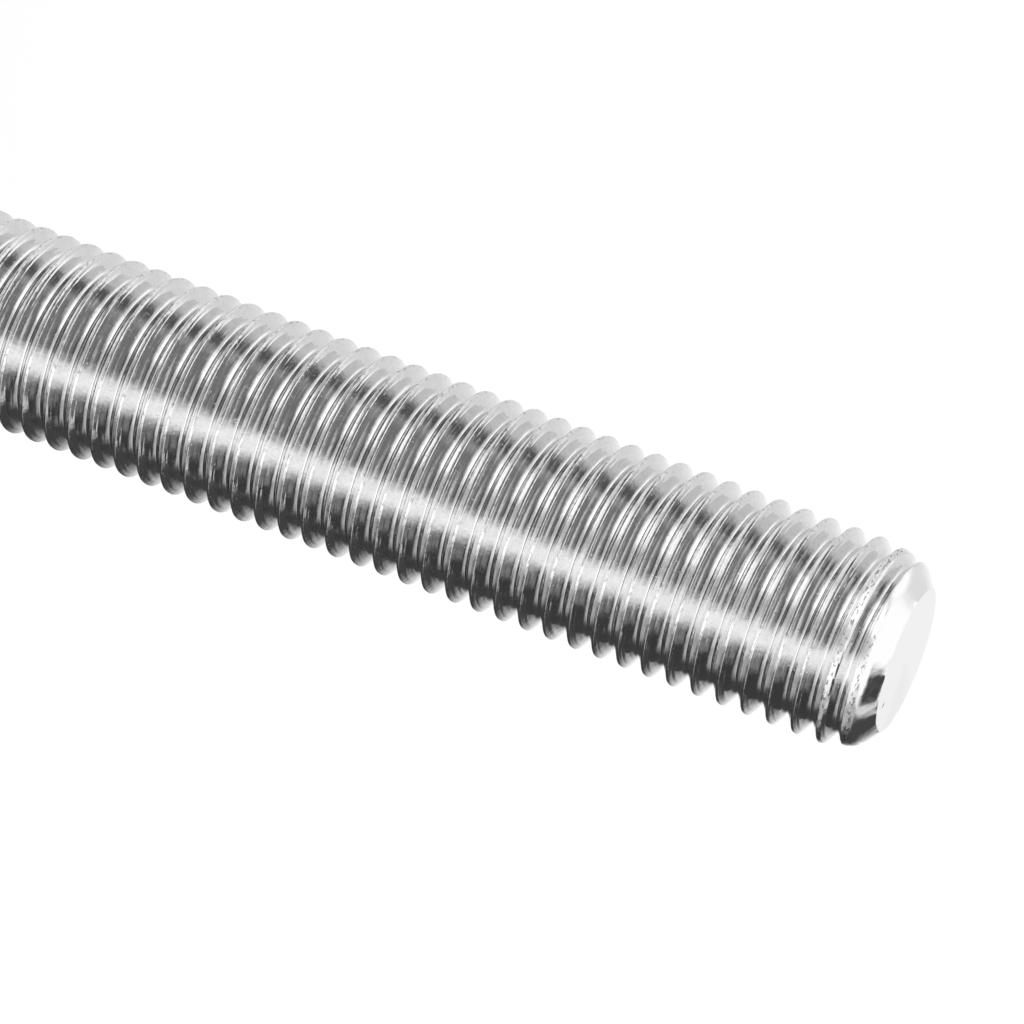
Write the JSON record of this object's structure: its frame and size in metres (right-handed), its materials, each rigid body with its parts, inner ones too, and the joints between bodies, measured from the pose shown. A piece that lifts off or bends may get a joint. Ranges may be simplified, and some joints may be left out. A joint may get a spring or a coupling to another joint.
{
  "type": "threaded rod",
  "caption": "Short straight steel rod with a coarse helical thread along its whole length and chamfered flat ends, for joining or clamping parts with nuts.",
  "frame": {"origin": "centre of the flat end face that the rod stands on", "axes": "+Z along the rod's axis, from the foot to the upper end face; +X and +Y lie in the foot's plane, with the groove leaving the foot 216 degrees round from +X towards +Y"},
  "size_m": [0.0158, 0.0158, 0.1],
  "materials": {
    "steel": "bright bare steel with fine turning marks along the thread"
  },
  "bodies": {
    "root": {"threaded_rod": "steel"}
  },
  "joints": []
}
